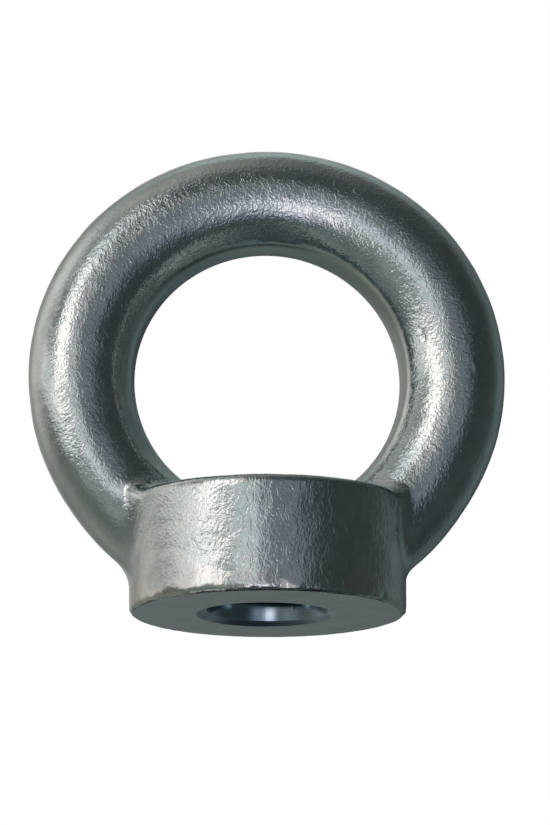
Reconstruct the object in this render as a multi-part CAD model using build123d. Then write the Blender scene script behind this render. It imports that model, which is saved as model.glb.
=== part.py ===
from build123d import *
import os
from math import radians, sqrt, tan

# Lifting eye nut for an M24 bolt: a lifting ring on a threaded collar, drop forged in one piece.
# The origin is the middle of the collar's machined seat, which lies in the XY plane.
# +Z runs up the thread's axis to the ring, and the ring lies in the XZ plane.
# The dies part in that plane, so the punch that opens the eye works along Y.

# Ring
ring_outer_diameter = 89.6
bar_diameter = 20.0

# Land that the punch leaves round the inside of the ring, when it knocks out the web
land_depth = 0.15  # cut into the bar at the land's narrow end, towards +Y
land_taper = 7.5  # degrees, opening towards -Y
land_offset = 0.15  # how far the punch lands off centre, towards +X
land_stop = 1.6  # how far above the collar's top the land ends

# Collar
collar_diameter = 51.2
collar_height = 21.3
collar_rise = 1.4  # how far the collar's top covers the lowest point inside the ring
top_edge_radius = 1.5
seat_edge_radius = 0.9

# Blends round the foot of each leg, softer on the -X side than on the +X side
soft_blend_radius = 7.0
tight_blend_radius = 4.0

# Thread M24 x 3, bored to the diameter of its crests
thread_bore_diameter = 20.752
countersink_diameter = 25.5
countersink_angle = 90.0  # degrees, full angle of the cone

bar_radius = bar_diameter / 2
ring_radius = (ring_outer_diameter - bar_diameter) / 2
inside_radius = ring_radius - bar_radius
ring_height = collar_height - collar_rise + inside_radius
collar_radius = collar_diameter / 2


def forged_ring():
    """Round bar in a full circle about the eye's axis, with its lowest part faced off at the seat."""
    bar = Pos(ring_radius, 0) * Circle(bar_radius)
    ring = Pos(0, 0, ring_height) * revolve(bar, Axis.Y, 360)
    return split(ring, Plane.XY, keep=Keep.TOP)


def forged_collar():
    """Short round boss under the ring, with its top rim and its seat rim rounded."""
    half = Polyline(
        (0, 0),
        (collar_radius, 0),
        (collar_radius, collar_height),
        (0, collar_height),
        close=True,
    )
    profile = make_face(half)
    seat_rim, top_rim = profile.vertices().filter_by(lambda corner: corner.X > 0).sort_by(Axis.Y)
    profile = fillet(top_rim, top_edge_radius)
    seat_rim = profile.vertices().sort_by_distance(seat_rim)[0]
    profile = fillet(seat_rim, seat_edge_radius)
    seam_at_back = Rot(0, 0, 90)
    return seam_at_back * revolve(Plane.XZ * profile, Axis.Z, 360)


def blended_forging():
    """Ring and collar as one body, with each leg blended into the collar all round its foot."""
    ring = forged_ring()
    collar = forged_collar()
    forging = ring + collar
    for side, radius in ((-1, soft_blend_radius), (1, tight_blend_radius)):
        feet = new_edges(ring, collar, combined=forging)
        foot = feet.filter_by(lambda edge: side * edge.center().X > 0)
        forging = fillet(foot, radius)
    return forging


def eye_punch():
    """Tapered punch, a little larger than the ring's inside, that stops short of the collar."""
    narrow_end = sqrt(bar_radius**2 - (bar_radius - land_depth) ** 2)

    def radius_at(depth):
        return inside_radius + land_depth + (narrow_end - depth) * tan(radians(land_taper))

    half = Polyline(
        (0, bar_radius),
        (radius_at(bar_radius), bar_radius),
        (radius_at(-bar_radius), -bar_radius),
        (0, -bar_radius),
        close=True,
    )
    punch = revolve(make_face(half), Axis.Y, 360)
    clear_of_collar = Plane.XY.offset(collar_height + land_stop)
    return split(Pos(land_offset, 0, ring_height) * punch, clear_of_collar, keep=Keep.TOP)


def thread_bore():
    """Hole for the thread, from the seat up through the collar, with its countersink."""
    bore_radius = thread_bore_diameter / 2
    sink_radius = countersink_diameter / 2
    sink_depth = (sink_radius - bore_radius) / tan(radians(countersink_angle / 2))
    clear_of_legs = collar_height + bar_radius
    half = Polyline(
        (0, 0),
        (sink_radius, 0),
        (bore_radius, sink_depth),
        (bore_radius, clear_of_legs),
        (0, clear_of_legs),
        close=True,
    )
    return revolve(Plane.XZ * make_face(half), Axis.Z, 360)


def eye_nut():
    """The finished nut: forged, punched and bored."""
    return blended_forging() - eye_punch() - thread_bore()


os.makedirs("parts", exist_ok=True)
export_step(eye_nut(), "parts/eye_nut.step")
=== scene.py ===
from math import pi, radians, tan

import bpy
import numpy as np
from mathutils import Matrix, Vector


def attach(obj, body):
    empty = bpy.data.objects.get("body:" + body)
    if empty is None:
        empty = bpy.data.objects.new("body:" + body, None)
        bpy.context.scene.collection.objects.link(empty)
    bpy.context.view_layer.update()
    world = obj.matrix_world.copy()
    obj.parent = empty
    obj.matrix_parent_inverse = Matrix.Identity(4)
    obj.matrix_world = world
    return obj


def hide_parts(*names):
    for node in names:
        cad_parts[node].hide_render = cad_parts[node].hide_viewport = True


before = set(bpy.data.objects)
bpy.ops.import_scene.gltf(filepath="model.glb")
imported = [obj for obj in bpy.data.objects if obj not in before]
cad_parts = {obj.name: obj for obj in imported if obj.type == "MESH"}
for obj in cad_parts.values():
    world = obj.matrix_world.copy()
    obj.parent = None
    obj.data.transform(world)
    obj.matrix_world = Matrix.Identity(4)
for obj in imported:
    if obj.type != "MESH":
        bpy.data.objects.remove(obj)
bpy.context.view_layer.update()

# Lifting eye nut, drop forged, blasted and zinc plated, on a studio table under a light tent.
# Sizes are in millimetres unless a name says otherwise, and MM turns them into Blender's metres.
# The nut's seat is the XY plane, its thread runs along Z and the eye opens along Y.

MM = 0.001

# Forging, as the solid has it
EYE_HEIGHT = 44.7  # middle of the eye above the seat
EYE_RADIUS = 24.8
BAR_RADIUS = 10.0
RING_RADIUS = EYE_RADIUS + BAR_RADIUS  # middle of the bar
COLLAR_RADIUS = 25.6
COLLAR_HEIGHT = 21.3
LAND_FRONT = -4.4  # where the punched land meets the bar, towards the front

# Thread M24 x 3
PITCH = 3.0
CREST_RADIUS = 10.376
ROOT_RADIUS = 12.0
SINK_RADIUS = 12.75
SINK_OFFSET = -0.3  # the countersink stands this far off the thread's axis, along X
LEAD_RADIUS = 11.2  # where the countersink meets the turned lead-in
SINK_DEPTH = 0.8
LEAD_DEPTH = 3.2  # where the lead-in runs out in the bore

# How this forging departs from true circles
GRAIN = 0.5  # side of one face of the forged skin
FULLNESS = 0.6  # how much fuller the bar is at its front and back
TOP_SAG = 0.2  # of the collar's top edge, in the middle of its front and back
COLLAR_SHIFT = 0.15  # of the collar, towards +X
DRAFT = tan(radians(2.5))  # of the collar's wall
DRAFT_FOOT, DRAFT_HEIGHT = 2.0, 18.0  # where the draft starts, and how far up it goes
FLAT_IN, FLAT_FORWARD = -0.805, 0.594  # the way the trimmed flat beside the land faces
FLAT_REACH = 9.47  # from the middle of the bar to that flat
FLAT_BLEND = 0.25  # how softly the flat meets the bar
SMOOTH_ANGLE = 25  # degrees, past which an edge is sharp


# --- Working on meshes ---


def only(*things):
    """Selects these objects and nothing else."""
    bpy.ops.object.select_all(action="DESELECT")
    for thing in things:
        thing.select_set(True)
    bpy.context.view_layer.objects.active = things[0]


def finish_with(thing, kind, **settings):
    """Adds a modifier with these settings and applies it."""
    only(thing)
    modifier = thing.modifiers.new(kind.lower(), kind)
    for name, value in settings.items():
        setattr(modifier, name, value)
    bpy.ops.object.modifier_apply(modifier=modifier.name)


def corners(thing):
    """Every vertex's place, in millimetres."""
    flat = np.empty(len(thing.data.vertices) * 3)
    thing.data.vertices.foreach_get("co", flat)
    return flat.reshape(-1, 3) / MM


def outward(thing):
    """Every vertex's normal."""
    flat = np.empty(len(thing.data.vertices) * 3)
    thing.data.vertex_normals.foreach_get("vector", flat)
    return flat.reshape(-1, 3)


def put_corners(thing, places):
    """Moves every vertex to its place, in millimetres."""
    thing.data.vertices.foreach_set("co", (places * MM).ravel())
    thing.data.update()


def ramp(value, start, end):
    """0 before start, 1 after end, and smooth between them."""
    part = np.clip((value - start) / (end - start), 0, 1)
    return part * part * (3 - 2 * part)


def weigh(thing, name, weights):
    """A vertex group with these weights, in steps of a tenth."""
    group = thing.vertex_groups.new(name=name)
    tenths = np.round(weights * 10)
    for tenth in range(1, 11):
        chosen = np.nonzero(tenths == tenth)[0]
        group.add(chosen.tolist(), tenth / 10, "REPLACE")


def roughen(thing, group, size, depth, rounds=2):
    """Raises and sinks the surface by up to about half this depth, in lumps of this size."""
    lumps = bpy.data.textures.new(group, "CLOUDS")
    lumps.noise_scale = size * MM
    lumps.noise_depth = rounds
    finish_with(
        thing,
        "DISPLACE",
        texture=lumps,
        texture_coords="LOCAL",
        strength=depth * MM,
        mid_level=0.5,
        vertex_group=group,
    )


# --- The forging ---


def plugged_blank():
    """The solid's shape with its hole plugged, in small even faces that can be worked."""
    blank = bpy.data.objects.new("forged_eye_nut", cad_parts["eye_nut"].data.copy())
    bpy.context.collection.objects.link(blank)
    blank.data.materials.clear()
    only(blank)
    bpy.ops.object.mode_set(mode="EDIT")
    bpy.ops.mesh.select_all(action="SELECT")
    bpy.ops.mesh.remove_doubles(threshold=1e-6)
    bpy.ops.object.mode_set(mode="OBJECT")
    bpy.ops.mesh.primitive_cylinder_add(
        vertices=128,
        radius=(SINK_RADIUS + 1) * MM,
        depth=COLLAR_HEIGHT * MM,
        location=(0, 0, COLLAR_HEIGHT / 2 * MM),
    )
    plug = bpy.context.object
    bpy.ops.object.transform_apply(location=True, rotation=True, scale=True)
    only(blank, plug)
    bpy.ops.object.join()
    finish_with(blank, "REMESH", mode="VOXEL", voxel_size=GRAIN * MM)
    finish_with(blank, "SMOOTH", factor=0.5, iterations=2)
    return blank


def settle_in_dies(blank):
    """The dies' own departures from true circles: the ring stands a little proud at its shoulders,
    draws in towards its legs, and is fuller at its front and back, and the collar has draft."""
    p = corners(blank)
    x, y, z = p[:, 0], p[:, 1], p[:, 2] - EYE_HEIGHT
    reach = np.hypot(x, z)
    angle = np.arctan2(z, x)
    bar = ramp(p[:, 2], 8, 22) * ramp(-np.abs(y), -14, -11)
    proud = -0.3 + 0.7 * np.sin(angle) + 0.44 * np.cos(2 * angle) - 0.1 * np.cos(4 * angle)
    outer = ramp(reach, RING_RADIUS - 4, RING_RADIUS + 9)
    shift = bar * (proud * outer + FULLNESS * (y / BAR_RADIUS) ** 2)
    p[:, 0] += shift * x / reach
    p[:, 2] += shift * z / reach

    front = ramp(-p[:, 1], 14, 24) * ramp(p[:, 2], 16, 21)
    p[:, 2] -= TOP_SAG * front * np.cos(np.clip(p[:, 0] / 18, -pi / 2, pi / 2))
    p[:, 0] += COLLAR_SHIFT * ramp(-p[:, 2], -20, -8)

    around = np.hypot(p[:, 0], p[:, 1])
    wall = ramp(around, 20, 24) * ramp(-around, -28.5, -26.5)
    wall = wall * ramp(-p[:, 2], -22.5, -21) * ramp(np.abs(p[:, 1]), 6, 13)
    flare = wall * DRAFT * np.clip(p[:, 2] - DRAFT_FOOT, 0, DRAFT_HEIGHT)
    p[:, 0] += flare * p[:, 0] / np.maximum(around, 1)
    p[:, 1] += flare * p[:, 1] / np.maximum(around, 1)

    seat = (p[:, 2] < 0.15) & (np.hypot(p[:, 0], p[:, 1]) < COLLAR_RADIUS - 1)
    p[seat, 2] = 0
    put_corners(blank, p)


def ease_land_edge(blank, p, reach):
    """Trims a soft flat beside the land on one side of the ring, and eases the edge all round."""
    edge = np.hypot(reach - (EYE_RADIUS + 0.95), p[:, 1] - LAND_FRONT)
    soft_side = ramp(-p[:, 0], -14, -4) * ramp(p[:, 2], COLLAR_HEIGHT + 2, COLLAR_HEIGHT + 9)
    over = FLAT_IN * (reach - RING_RADIUS) + FLAT_FORWARD * np.abs(p[:, 1]) - FLAT_REACH
    shave = soft_side * (over > -1.5) * 0.5 * (over + np.sqrt(over**2 + FLAT_BLEND**2))
    p[:, 0] -= shave * FLAT_IN * p[:, 0] / reach
    p[:, 2] -= shave * FLAT_IN * (p[:, 2] - EYE_HEIGHT) / reach
    p[:, 1] -= shave * FLAT_FORWARD * np.sign(p[:, 1])
    put_corners(blank, p)
    near = ramp(-edge, -3.0, -1.2) * ramp(p[:, 2], COLLAR_HEIGHT, COLLAR_HEIGHT + 6)
    weigh(blank, "crease", near * (0.4 + 0.6 * ramp(-p[:, 0], -14, -4)))
    finish_with(blank, "SMOOTH", factor=0.5, iterations=30, vertex_group="crease")


# Lumps of the forged skin: where, their size, their depth, and how many finer sizes they hold
LUMPS = (
    ("skin", 11, 0.2, 1),
    ("skin", 3.2, 0.07, 2),
    ("skin", 1.2, 0.05, 2),
    ("collar", 2.2, 0.08, 2),
    ("rim", 3.5, 0.3, 1),
    ("rim", 1.3, 0.14, 2),
)


def forged_skin(blank):
    """The uneven skin that the dies and the blasting leave. The seat and the land stay smooth."""
    p = corners(blank)
    around = np.hypot(p[:, 0], p[:, 1])
    reach = np.hypot(p[:, 0], p[:, 2] - EYE_HEIGHT)
    deep = np.abs(p[:, 1])
    above_seat = ramp(p[:, 2], 0.2, 1.2)
    off_land = np.maximum(ramp(reach, EYE_RADIUS + 0.6, EYE_RADIUS + 1.6), ramp(deep, 5.5, 7))
    rim = ramp(around, COLLAR_RADIUS - 1.1, COLLAR_RADIUS - 0.3) * ramp(-p[:, 2], -1.5, -0.7)
    weigh(blank, "skin", above_seat * (0.25 + 0.75 * off_land))
    weigh(blank, "collar", ramp(-p[:, 2], -24, -18) * ramp(deep, 8, 14) * above_seat)
    weigh(blank, "rim", rim)
    ease_land_edge(blank, p, reach)
    for place, size, depth, rounds in LUMPS:
        roughen(blank, place, size, depth, rounds)


# Marks: where, the way they run, half length, half width, depth (below zero stands proud)
MARKS = (
    ((16.8, -9.4, 78.9), (0.66, 0, -0.75), 2.0, 0.35, -0.16),
    ((16.1, -9.5, 78.2), (0.66, 0, -0.75), 2.0, 0.4, 0.12),
    ((29.0, -8.5, 51.0), (0.1, 0.1, 1.0), 1.8, 0.3, 0.28),
    ((28.0, -8.3, 53.0), (-0.5, 0, 1.0), 1.4, 0.3, 0.16),
    ((-32.5, -9.4, 64.4), (0.5, 0, -0.6), 1.1, 0.3, 0.14),
    ((38.2, -9.3, 46.0), (0.4, 0, -1.0), 1.6, 0.4, -0.12),
    ((1.6, -25.3, 0.9), (1.0, 0, 0.1), 1.6, 0.5, 0.3),
    ((20.6, -15.1, 0.9), (0.5, 0.6, 0.3), 0.9, 0.5, 0.3),
    ((-18.3, -17.4, 0.8), (-0.7, 0.6, 0), 1.4, 0.5, 0.25),
)


def press_marks(blank):
    """Nicks, scratches and laps in the skin."""
    p = corners(blank)
    n = outward(blank)
    for place, way, length, width, depth in MARKS:
        gap = p - np.array(place)
        way = np.array(way) / np.linalg.norm(way)
        along = gap @ way
        across = np.linalg.norm(gap - np.outer(along, way), axis=1)
        p -= n * (depth * np.exp(-((along / length) ** 2) - (across / width) ** 2))[:, None]
    put_corners(blank, p)


# --- The hole ---


def groove_cutter():
    """The thread's groove as a solid ridge, wound up round the hole from the lead-in."""
    turns = 7
    spare = 0.4  # how far the ridge reaches into the open bore
    bpy.ops.mesh.primitive_circle_add(vertices=4, radius=MM, fill_type="NGON")
    ridge = bpy.context.object
    half_mouth, half_root = PITCH * 0.375, PITCH / 16
    flank = (half_mouth - half_root) / (ROOT_RADIUS - CREST_RADIUS)
    inner = CREST_RADIUS - spare
    half_inner = half_mouth + spare * flank
    low = LEAD_DEPTH + half_mouth
    outline = (
        (inner, 0, low - half_inner),
        (ROOT_RADIUS, 0, low - half_root),
        (ROOT_RADIUS, 0, low + half_root),
        (inner, 0, low + half_inner),
    )
    put_corners(ridge, np.array(outline))
    finish_with(
        ridge,
        "SCREW",
        axis="Z",
        angle=2 * pi,
        screw_offset=PITCH * MM,
        iterations=turns,
        steps=72,
        render_steps=72,
        use_merge_vertices=False,
        use_normal_calculate=True,
    )
    only(ridge)
    bpy.ops.object.mode_set(mode="EDIT")
    bpy.ops.mesh.select_all(action="SELECT")
    bpy.ops.mesh.remove_doubles(threshold=1e-7)
    bpy.ops.mesh.select_all(action="DESELECT")
    bpy.ops.mesh.select_non_manifold(extend=False)
    bpy.ops.mesh.fill_holes(sides=0)
    bpy.ops.mesh.select_all(action="SELECT")
    bpy.ops.mesh.normals_make_consistent(inside=False)
    bpy.ops.object.mode_set(mode="OBJECT")
    return ridge


def tapered_cutter(wide, narrow, start, end, across=0.0):
    """A turned tool: wide at one height, narrow at the next, and carried on a little below,
    and set across by this much along X."""
    below = 1.0
    grow = (wide - narrow) / (end - start) * below
    bpy.ops.mesh.primitive_cone_add(
        vertices=144,
        radius1=(wide + grow) * MM,
        radius2=narrow * MM,
        depth=(end - start + below) * MM,
        location=(across * MM, 0, (end + start - below) / 2 * MM),
    )
    tool = bpy.context.object
    bpy.ops.object.transform_apply(location=True, rotation=True, scale=True)
    return tool


def cut(blank, tool):
    """Takes the tool's shape out of the blank."""
    finish_with(blank, "BOOLEAN", operation="DIFFERENCE", solver="EXACT", object=tool)
    bpy.data.objects.remove(tool)


nut = plugged_blank()
settle_in_dies(nut)
forged_skin(nut)
press_marks(nut)
cut(nut, tapered_cutter(CREST_RADIUS, CREST_RADIUS, -1.0, COLLAR_HEIGHT + 6))  # the bore
cut(nut, groove_cutter())
cut(nut, tapered_cutter(LEAD_RADIUS, CREST_RADIUS - 0.05, SINK_DEPTH, LEAD_DEPTH))
cut(nut, tapered_cutter(SINK_RADIUS, LEAD_RADIUS, 0.0, SINK_DEPTH, SINK_OFFSET))
places = corners(nut)
places[np.abs(places[:, 2]) < 0.02, 2] = 0  # the seat is faced flat
put_corners(nut, places)
only(nut)
bpy.ops.object.shade_smooth_by_angle(angle=radians(SMOOTH_ANGLE))
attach(nut, "root")
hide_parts("eye_nut")


# --- Materials ---

# Base colours
ZINC_DEEP, ZINC_PALE = (0.45, 0.535, 0.52, 1), (0.53, 0.60, 0.585, 1)
# Land in the eye: painted light and shade, lighter on its -X side and darker on its +X side
LAND_PAINTED_LIGHT, LAND_PAINTED_SHADE = (0.45, 0.555, 0.54, 1), (0.29, 0.36, 0.345, 1)
FOOT_TINT = (0.54, 0.56, 0.53, 1)
RIM_STAIN = (0.10, 0.075, 0.06, 1)
# Painted light: the seat's zinc is painted lighter than the forged zinc, standing in for light on
# the downward-facing seat
SEAT_DEEP, SEAT_PALE = (0.60, 0.68, 0.66, 1), (0.648, 0.7344, 0.7128, 1)
# Painted shade in the bore: the hole's zinc is painted far darker than the zinc outside, and its
# pale streaks are bluish to tint the reflected spot blue-white
CUT_DEEP, CUT_PALE = (0.15, 0.205, 0.23, 1), (0.44, 0.565, 0.64, 1)

# Heights of the bumps, in millimetres
RING_GRAIN, COLLAR_GRAIN = 0.046, 0.033
LEFT_FOLDS, RIGHT_FOLDS = 0.006, 0.022
TOOL_RINGS = 0.018


def add(tree, kind, sources=(), **settings):
    """A node with its inputs linked from sockets or set to values, in order."""
    made = tree.nodes.new("ShaderNode" + kind)
    for name, value in settings.items():
        setattr(made, name, value)
    pairs = sources.items() if isinstance(sources, dict) else enumerate(sources)
    for place, source in pairs:
        if isinstance(source, bpy.types.NodeSocket):
            tree.links.new(source, made.inputs[place])
        elif source is not None:
            made.inputs[place].default_value = source
    return made


def figure(tree, operation, *sources):
    """A Math node's result."""
    return add(tree, "Math", sources, operation=operation).outputs[0]


def product(tree, one, other):
    """Two figures multiplied."""
    return figure(tree, "MULTIPLY", one, other)


def away(tree, one, other):
    """How far a point is from the origin, from its two distances."""
    squares = figure(tree, "ADD", product(tree, one, one), product(tree, other, other))
    return figure(tree, "SQRT", squares)


def scaled(tree, vector, factor):
    """A vector made longer or shorter."""
    sources = {"Vector": vector, "Scale": factor}
    return add(tree, "VectorMath", sources, operation="SCALE").outputs[0]


def noise(tree, place, scale, detail, **more):
    """A Noise Texture's node."""
    settings = {"Vector": place, "Scale": scale, "Detail": detail}
    settings.update({name.capitalize(): value for name, value in more.items()})
    return add(tree, "TexNoise", settings)


def group(name, inputs, outputs):
    """An empty node group with these sockets, and its two ends."""
    tree = bpy.data.node_groups.new(name, "ShaderNodeTree")
    for direction, sockets in (("INPUT", inputs), ("OUTPUT", outputs)):
        for label, kind in sockets:
            tree.interface.new_socket(label, in_out=direction, socket_type="NodeSocket" + kind)
    start = tree.nodes.new("NodeGroupInput")
    end = tree.nodes.new("NodeGroupOutput")
    return tree, start.outputs, end.inputs


def use(tree, name, sources):
    """A node group placed in a material."""
    made = tree.nodes.new("ShaderNodeGroup")
    made.node_tree = bpy.data.node_groups[name]
    for label, source in sources.items():
        if isinstance(source, bpy.types.NodeSocket):
            tree.links.new(source, made.inputs[label])
        else:
            made.inputs[label].default_value = source
    return made.outputs


def between(tree, value, start, end, first=0.0, last=1.0):
    """A figure that goes smoothly from first to last as the value goes from start to end."""
    sources = (value, start, end, first, last)
    return add(tree, "MapRange", sources, interpolation_type="SMOOTHSTEP").outputs[0]


def mix(tree, share, one, other):
    """Two colours mixed."""
    return add(tree, "MixRGB", (share, one, other)).outputs[0]


def make_skin():
    """Height in mm and tone of a blasted skin with leathery folds, on places in mm."""
    tree, given, out = group(
        "blasted_skin",
        (("Place", "Vector"), ("Grain", "Float"), ("Folds", "Float")),
        (("Height", "Float"), ("Tone", "Float"), ("Blotch", "Float")),
    )
    place = given["Place"]
    warp = noise(tree, place, 0.5, 1.0)
    swirl = scaled(tree, warp.outputs["Color"], 1.2)
    bent = add(tree, "VectorMath", (place, swirl), operation="ADD").outputs[0]

    # Pits of two sizes, and slanting strokes that come in patches
    coarse = noise(tree, bent, 1.5, 1.0, roughness=0.5).outputs[0]
    fine = noise(tree, place, 3.0, 1.0, roughness=0.5).outputs[0]
    pits = between(tree, coarse, 0.42, 0.66)
    slant = {"Vector": bent, "Rotation": (0, radians(-20), 0), "Scale": (1, 1, 0.35)}
    slanted = add(tree, "Mapping", slant).outputs[0]
    hits = between(tree, noise(tree, slanted, 2.4, 1.0, distortion=0.4).outputs[0], 0.52, 0.7)
    patch = between(tree, noise(tree, place, 0.3, 1.0).outputs[0], 0.45, 0.6, 0.15, 1.0)
    strokes = product(tree, hits, patch)
    lumps = 0.0
    for height, share in ((coarse, 0.9), (fine, 0.9), (pits, 0.25), (strokes, 0.45)):
        lumps = figure(tree, "MULTIPLY_ADD", height, share, lumps)

    # Leathery folds, as the lines where a drawn-out noise crosses its middle
    drawing = {"Vector": bent, "Rotation": (0, radians(22), 0), "Scale": (1, 1, 0.4)}
    drawn = add(tree, "Mapping", drawing).outputs[0]
    wave = noise(tree, drawn, 0.7, 2.0, roughness=0.5, distortion=0.6).outputs[0]
    apart = figure(tree, "ABSOLUTE", figure(tree, "SUBTRACT", wave, 0.5))
    fold = between(tree, apart, 0.0, 0.12)

    grained, folded = product(tree, lumps, given["Grain"]), product(tree, fold, given["Folds"])
    tree.links.new(figure(tree, "ADD", grained, folded), out["Height"])
    tree.links.new(coarse, out["Tone"])
    tree.links.new(noise(tree, place, 0.16, 3.0, roughness=0.6).outputs[0], out["Blotch"])


def new_material(name):
    """A material with its shader and the piece's own coordinates in mm."""
    made = bpy.data.materials.new(name)
    made.use_nodes = True
    tree = made.node_tree
    shader = tree.nodes["Principled BSDF"]
    shader.inputs["Metallic"].default_value = 1.0
    own = add(tree, "TexCoord").outputs["Object"]
    place = add(tree, "VectorMath", (own, (1000, 1000, 1000)), operation="MULTIPLY").outputs[0]
    return made, tree, shader, place


def bump(tree, shader, height):
    """Bumps of this height, in millimetres, on the shader."""
    made = add(tree, "Bump", {"Strength": 1.0, "Distance": MM, "Height": height})
    tree.links.new(made.outputs[0], shader.inputs["Normal"])


def forged_zinc():
    """Zinc over blasted forging skin, with the land in the eye rubbed smooth and carrying painted
    light and shade, lighter towards -X and darker towards +X, a warm tint low on the collar and a
    stain round the rim of the seat."""
    made, tree, shader, place = new_material("forged_zinc")
    x, y, z = add(tree, "SeparateXYZ", (place,)).outputs
    reach = away(tree, x, figure(tree, "SUBTRACT", z, EYE_HEIGHT))
    around = away(tree, x, y)

    # Where the skin is: off the land and what is rubbed beside it, and on the collar's top
    top = between(tree, z, COLLAR_HEIGHT + 0.3, COLLAR_HEIGHT + 1.3, 1.0, 0.0)
    top = product(tree, top, between(tree, figure(tree, "ABSOLUTE", y), 5.5, 7.0))
    worn_to = between(tree, x, -5.0, 10.0, EYE_RADIUS + 5.0, EYE_RADIUS + 3.5)
    off_worn = figure(tree, "MAXIMUM", between(tree, reach, EYE_RADIUS + 1.0, worn_to), top)
    off_land = between(tree, reach, EYE_RADIUS + 0.8, EYE_RADIUS + 1.6)
    off_land = figure(tree, "MAXIMUM", off_land, top)
    collar = between(tree, z, 19.0, 22.5, 1.0, 0.0)
    collar = product(tree, collar, between(tree, around, 20.0, 23.0))

    grain = between(tree, collar, 0.0, 1.0, RING_GRAIN, COLLAR_GRAIN)
    grain = product(tree, grain, between(tree, off_worn, 0.0, 1.0, 0.12, 1.0))
    grain = product(tree, grain, between(tree, reach, 39.0, 43.5, 1.0, 0.4))
    folds = product(tree, collar, between(tree, x, -16.0, 2.0, LEFT_FOLDS, RIGHT_FOLDS))
    skin = use(tree, "blasted_skin", {"Place": place, "Grain": grain, "Folds": folds})
    bump(tree, shader, skin["Height"])
    tree.links.new(between(tree, skin["Tone"], 0.3, 0.7, 0.14, 0.2), shader.inputs["Roughness"])

    zinc = mix(tree, between(tree, skin["Blotch"], 0.35, 0.65), ZINC_DEEP, ZINC_PALE)
    # Painted light and shade on the land: lighter towards -X, darker towards +X
    land = mix(tree, between(tree, x, -12.0, 14.0), LAND_PAINTED_LIGHT, LAND_PAINTED_SHADE)
    zinc = mix(tree, off_land, land, zinc)
    low = between(tree, z, 1.0, 8.0, 1.0, 0.0)
    low = product(tree, low, between(tree, skin["Blotch"], 0.4, 0.6, 0.2, 1.0))
    zinc = mix(tree, product(tree, low, collar), zinc, FOOT_TINT)
    wander = figure(tree, "ADD", around, between(tree, skin["Blotch"], 0.3, 0.7, -0.35, 0.35))
    line = between(tree, wander, 24.45, 24.65)
    line = product(tree, line, between(tree, wander, 24.75, 25.0, 1.0, 0.0))
    line = product(tree, line, between(tree, z, 0.3, 0.7, 1.0, 0.0))
    tree.links.new(mix(tree, line, zinc, RIM_STAIN), shader.inputs["Base Color"])
    return made


def machined_zinc():
    """Zinc over the faced seat, painted lighter than the forged zinc as painted light on the
    downward-facing seat.
    """
    made, tree, shader, place = new_material("machined_seat")
    skin = use(tree, "blasted_skin", {"Place": place, "Grain": 0.0, "Folds": 0.0})
    tree.links.new(between(tree, skin["Tone"], 0.3, 0.7, 0.41, 0.49), shader.inputs["Roughness"])
    # Painted light: the lighter seat colours stand in for light falling on the seat
    seat = mix(tree, between(tree, skin["Blotch"], 0.35, 0.65), SEAT_DEEP, SEAT_PALE)
    tree.links.new(seat, shader.inputs["Base Color"])
    return made


def cut_zinc():
    """Zinc in the turned hole with the tool's fine rings, painted dark as painted shade in the
    bore; its pale streaks are bluish to tint the reflected spot.
    """
    made, tree, shader, place = new_material("cut_thread")
    height = add(tree, "SeparateXYZ", (place,)).outputs["Z"]
    rings = add(tree, "CombineXYZ", (0.0, 0.0, height)).outputs[0]
    streaks = noise(tree, rings, 4.0, 2.0, roughness=0.7).outputs[0]
    bump(tree, shader, product(tree, streaks, TOOL_RINGS))
    tree.links.new(between(tree, streaks, 0.3, 0.7, 0.09, 0.17), shader.inputs["Roughness"])
    # Painted shade: dark zinc in the bore, with pale bluish streaks along the tool's rings
    tree.links.new(mix(tree, streaks, CUT_DEEP, CUT_PALE), shader.inputs["Base Color"])
    return made


make_skin()
nut.data.materials.clear()
FORGED, SEAT, HOLE = 0, 1, 2
nut.data.materials.append(forged_zinc())
nut.data.materials.append(machined_zinc())
nut.data.materials.append(cut_zinc())
for face in nut.data.polygons:
    middle = face.center / MM
    if middle.z < 0.05 and face.normal.z < -0.98:
        face.material_index = SEAT
        face.use_smooth = False
    elif middle.xy.length < SINK_RADIUS - SINK_OFFSET + 0.01 and middle.z < COLLAR_HEIGHT + 2:
        face.material_index = HOLE
    else:
        face.material_index = FORGED


# --- Studio ---

CAMERA_PLACE = (-0.0167176, -0.5563975, -0.098979)
CAMERA_VIEW = (0.03176737, 0.97031065, 0.23976673)
SENSOR, LENS = 36, 133.24  # millimetres

bpy.ops.object.camera_add(location=CAMERA_PLACE)
camera = bpy.context.object
camera.rotation_euler = Vector(CAMERA_VIEW).to_track_quat("-Z", "Y").to_euler()
camera.data.lens = LENS
camera.data.sensor_width = SENSOR
camera.data.clip_start = 0.01
bpy.context.scene.camera = camera
bpy.context.scene.view_settings.view_transform = "Standard"

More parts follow.
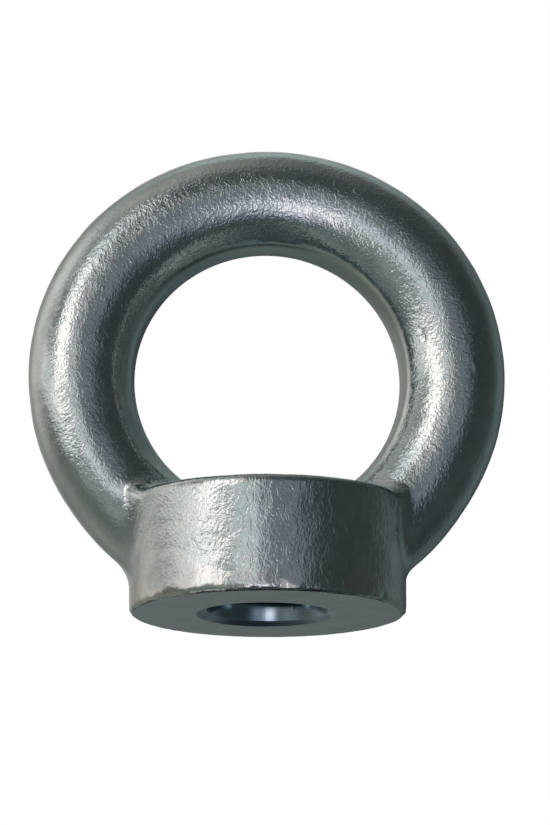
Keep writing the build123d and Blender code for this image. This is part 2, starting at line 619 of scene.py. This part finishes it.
# Soft panels of the light tent: azimuth from the front towards +X, elevation, half width and
# half height in degrees, how crisp the edge is (1 soft, 2 crisp), and colour
PANELS = (
    ("key", -58, 18, 16, 9, 2, (0.414, 0.399, 0.394)),
    ("key_core", -51, 9, 10, 8, 2, (1.22, 0.994, 0.99)),
    ("key_front", -38, 20, 11, 10, 2, (2.76, 2.29, 2.24)),
    ("key_low", -60, 3, 20, 9, 2, (1.04, 0.962, 0.97)),
    ("key_high", -40, 37, 14, 12, 2, (1.35, 1.26, 1.29)),
    ("key_left", -84, 14, 14, 9, 1, (1.1, 0.983, 0.98)),
    ("key_right", -13, 20, 9, 9, 1, (0.893, 0.777, 0.797)),
    ("cool_mid", -20, 3, 12, 9, 1, (1.09, 1.1, 1.16)),
    ("front_cool", -6, -4, 10, 8, 2, (0.193, 0.193, 0.271)),
    ("cool_low", -7, -20, 10, 10, 1, (2.45, 2.15, 2.27)),
    ("cool_lower", -7, -38, 10, 9, 1, (0.847, 0.753, 0.971)),
    ("cool_right", 17, -20, 12, 20, 1, (0.364, 0.362, 0.457)),
    ("front_wide", 16, 14, 16, 16, 1, (0.196, 0.209, 0.238)),
    ("front_left", -45, -20, 22, 16, 1, (0.316, 0.305, 0.291)),
    ("left_wall", -120, 18, 24, 24, 1, (0.829, 0.749, 0.709)),
    ("left_high", -98, 42, 20, 14, 1, (0.814, 0.733, 0.735)),
    ("left_low", -120, -30, 36, 20, 1, (0.262, 0.248, 0.218)),
    ("low_left", -100, -62, 18, 12, 1, (0.6, 0.6, 0.6)),
    ("ceiling", 0, 88, 24, 24, 1, (0.172, 0.155, 0.149)),
    ("ceiling_left", -70, 66, 22, 16, 1, (0.388, 0.353, 0.336)),
    ("ceiling_back", 180, 62, 26, 14, 1, (0.503, 0.568, 0.556)),
    ("back", 180, 35, 18, 12, 1, (0.5, 0.5, 0.5)),
    ("behind_left", -165, 8, 16, 16, 1, (0.4, 0.4, 0.4)),
    ("behind_low", 180, -14, 40, 10, 1, (0.07, 0.09, 0.096)),
    ("behind_lower", 180, -36, 36, 12, 1, (0.159, 0.181, 0.18)),
    ("right_back", 128, 12, 24, 34, 1, (0.147, 0.178, 0.185)),
    ("right", 82, 5, 24, 40, 1, (0.015, 0.013, 0.01)),
    ("upper_front", 10, 45, 30, 18, 1, (0.008, 0.01, 0.011)),
    ("below", 0, -80, 50, 40, 1, (0.041, 0.054, 0.058)),
    ("low_mid", -45, -50, 20, 12, 1, (0.039, 0.054, 0.054)),
    ("everywhere", 0, 0, 400, 400, 1, (0.037, 0.047, 0.049)),
)


def make_panel():
    """Light of one soft panel, seen in this direction from the nut."""
    angles = ("Azimuth", "Elevation", "Half width", "Half height", "Crispness")
    tree, given, out = group(
        "soft_panel",
        (("Direction", "Vector"), *((name, "Float") for name in angles), ("Light", "Color")),
        (("Light", "Color"),),
    )
    round_z = {
        "Vector": given["Direction"],
        "Axis": (0, 0, 1),
        "Angle": product(tree, given["Azimuth"], -1.0),
    }
    turned = add(tree, "VectorRotate", round_z).outputs[0]
    round_x = {"Vector": turned, "Axis": (1, 0, 0), "Angle": given["Elevation"]}
    level = add(tree, "VectorRotate", round_x).outputs[0]
    x, y, z = add(tree, "SeparateXYZ", (level,)).outputs
    wide = figure(tree, "DIVIDE", x, given["Half width"])
    high = figure(tree, "DIVIDE", z, given["Half height"])
    far = figure(tree, "ADD", product(tree, wide, wide), product(tree, high, high))
    crisp = figure(tree, "POWER", far, given["Crispness"])
    bell = figure(tree, "EXPONENT", product(tree, crisp, -1.0))
    facing = add(tree, "MapRange", (y, 0.3, -0.3, 0.0, 1.0)).outputs[0]
    tree.links.new(scaled(tree, given["Light"], product(tree, bell, facing)), out["Light"])


def light_tent():
    """A tent of cloth round the table, which only the metal reflects, lit by soft panels."""
    bpy.ops.mesh.primitive_uv_sphere_add(segments=48, ring_count=24, radius=2.0)
    tent = bpy.context.object
    tent.name = "light_tent"
    tent.visible_camera = False
    tent.visible_diffuse = False
    tent.visible_shadow = False
    tent.visible_transmission = False
    cloth = bpy.data.materials.new("tent_cloth")
    cloth.use_nodes = True
    tree = cloth.node_tree
    tree.nodes.clear()
    own = add(tree, "TexCoord").outputs["Object"]
    direction = add(tree, "VectorMath", (own,), operation="NORMALIZE").outputs[0]
    total = (0, 0, 0)
    for _, azimuth, elevation, width, height, crispness, light in PANELS:
        panel = use(
            tree,
            "soft_panel",
            {
                "Direction": direction,
                "Azimuth": radians(azimuth),
                "Elevation": radians(elevation),
                "Half width": radians(width),
                "Crispness": crispness,
                "Half height": radians(height),
                "Light": (*light, 1),
            },
        )["Light"]
        total = add(tree, "VectorMath", (total, panel), operation="ADD").outputs[0]
    glow = add(tree, "Emission", (total, 1.0))
    add(tree, "OutputMaterial", (glow.outputs[0],))
    cloth.cycles.emission_sampling = "NONE"
    tent.data.materials.append(cloth)


def studio_world():
    """White all round for the camera and for gloss, and soft grey light for the table."""
    world = bpy.data.worlds.new("studio")
    bpy.context.scene.world = world
    world.use_nodes = True
    tree = world.node_tree
    tree.nodes.clear()
    rays = add(tree, "LightPath").outputs
    seen = figure(tree, "MAXIMUM", rays["Is Glossy Ray"], rays["Is Transmission Ray"])
    seen = figure(tree, "MAXIMUM", rays["Is Camera Ray"], seen)
    soft = add(tree, "Background", ((0.94, 0.95, 0.96, 1), 1.0))
    white = add(tree, "Background", ((1, 1, 1, 1), 1.0))
    both = add(tree, "MixShader", (seen, soft.outputs[0], white.outputs[0]))
    add(tree, "OutputWorld", (both.outputs[0],))


def table():
    """Pale table top, which is seen only from above and fades to white far off."""
    bpy.ops.mesh.primitive_plane_add(size=3.0)
    top = bpy.context.object
    top.name = "table_top"
    top.visible_glossy = False
    top.visible_diffuse = False
    top.visible_transmission = False
    top.visible_shadow = False
    made = bpy.data.materials.new("pale_table")
    made.use_nodes = True
    tree = made.node_tree
    shader = tree.nodes["Principled BSDF"]
    shader.inputs["Base Color"].default_value = (0.86, 0.86, 0.86, 1)
    shader.inputs["Roughness"].default_value = 0.9
    shader.inputs["Specular IOR Level"].default_value = 0.1
    under = add(tree, "NewGeometry").outputs["Backfacing"]
    clear = add(tree, "BsdfTransparent")
    own = add(tree, "TexCoord").outputs["Object"]
    far = add(tree, "VectorMath", (own,), operation="LENGTH").outputs["Value"]
    fade = between(tree, far, 0.15, 1.0)
    haze = add(tree, "Emission", ((1, 1, 1, 1), 1.0))
    above = add(tree, "MixShader", (fade, shader.outputs[0], haze.outputs[0]))
    both = add(tree, "MixShader", (under, above.outputs[0], clear.outputs[0]))
    tree.links.new(both.outputs[0], tree.nodes["Material Output"].inputs[0])
    made.cycles.emission_sampling = "NONE"
    top.data.materials.append(made)


make_panel()
light_tent()
studio_world()
table()
